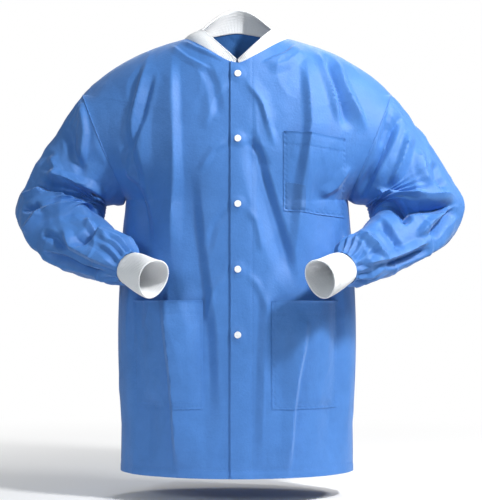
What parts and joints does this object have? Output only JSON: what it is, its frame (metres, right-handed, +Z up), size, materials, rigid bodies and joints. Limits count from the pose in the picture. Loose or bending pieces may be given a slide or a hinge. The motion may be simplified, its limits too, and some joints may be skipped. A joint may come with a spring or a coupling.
{
  "type": "lab coat",
  "caption": "Hip-length snap-front lab coat with knit collar and cuffs, a chest pocket and lower patch pockets, in its worn shape.",
  "frame": {"origin": "midway between the two points where the neckline meets the shoulder seams, where the wearer's shoulders or a hanger carry the coat", "axes": "+Z up, -Y out of the coat's front, +X towards the wearer's left"},
  "size_m": [0.7792, 0.3421, 0.8162],
  "materials": {
    "coat_cloth": "matte blue nonwoven with a faint satin sheen",
    "knit_rib": "white rib knit",
    "snap_plastic": "white moulded plastic"
  },
  "bodies": {
    "coat_body": {"back_panel": "coat_cloth", "left_front_panel": "coat_cloth", "right_front_panel": "coat_cloth", "collar_back": "knit_rib", "left_upper_sleeve": "coat_cloth", "right_upper_sleeve": "coat_cloth", "left_lower_pocket": "coat_cloth", "right_lower_pocket": "coat_cloth", "chest_pocket": "coat_cloth"},
    "left_front": {"left_front_edge": "coat_cloth", "left_collar_end": "knit_rib", "snap_1_cap": "snap_plastic", "snap_1_socket": "snap_plastic", "snap_2_cap": "snap_plastic", "snap_2_socket": "snap_plastic", "snap_3_cap": "snap_plastic", "snap_3_socket": "snap_plastic", "snap_4_cap": "snap_plastic", "snap_4_socket": "snap_plastic", "snap_5_cap": "snap_plastic", "snap_5_socket": "snap_plastic"},
    "right_front": {"right_front_edge": "coat_cloth", "right_collar_end": "knit_rib", "snap_1_stud": "snap_plastic", "snap_1_back": "snap_plastic", "snap_2_stud": "snap_plastic", "snap_2_back": "snap_plastic", "snap_3_stud": "snap_plastic", "snap_3_back": "snap_plastic", "snap_4_stud": "snap_plastic", "snap_4_back": "snap_plastic", "snap_5_stud": "snap_plastic", "snap_5_back": "snap_plastic"},
    "left_forearm": {"left_lower_sleeve": "coat_cloth", "left_cuff": "knit_rib"},
    "right_forearm": {"right_lower_sleeve": "coat_cloth", "right_cuff": "knit_rib"}
  },
  "joints": [
    {"name": "left_front_opening", "type": "hinge", "parent": "coat_body", "child": "left_front", "pos_m": [0.05, -0.1182, -0.18], "axis": [0, 0.031, 0.9995], "range_deg": [0, 75]},
    {"name": "right_front_opening", "type": "hinge", "parent": "coat_body", "child": "right_front", "pos_m": [-0.05, -0.1182, -0.18], "axis": [0, 0.031, 0.9995], "range_deg": [-30, 0]},
    {"name": "left_elbow", "type": "hinge", "parent": "coat_body", "child": "left_forearm", "pos_m": [0.3818, 0.0448, -0.3254], "axis": [0.5512, -0.7272, 0.4091], "range_deg": [0, 60]},
    {"name": "right_elbow", "type": "hinge", "parent": "coat_body", "child": "right_forearm", "pos_m": [-0.3818, 0.0448, -0.3254], "axis": [0.5512, 0.7272, -0.4091], "range_deg": [0, 60]}
  ],
  "couplings": [
    {"joint": "right_front_opening", "follows": "left_front_opening", "ratio": -0.4}
  ]
}
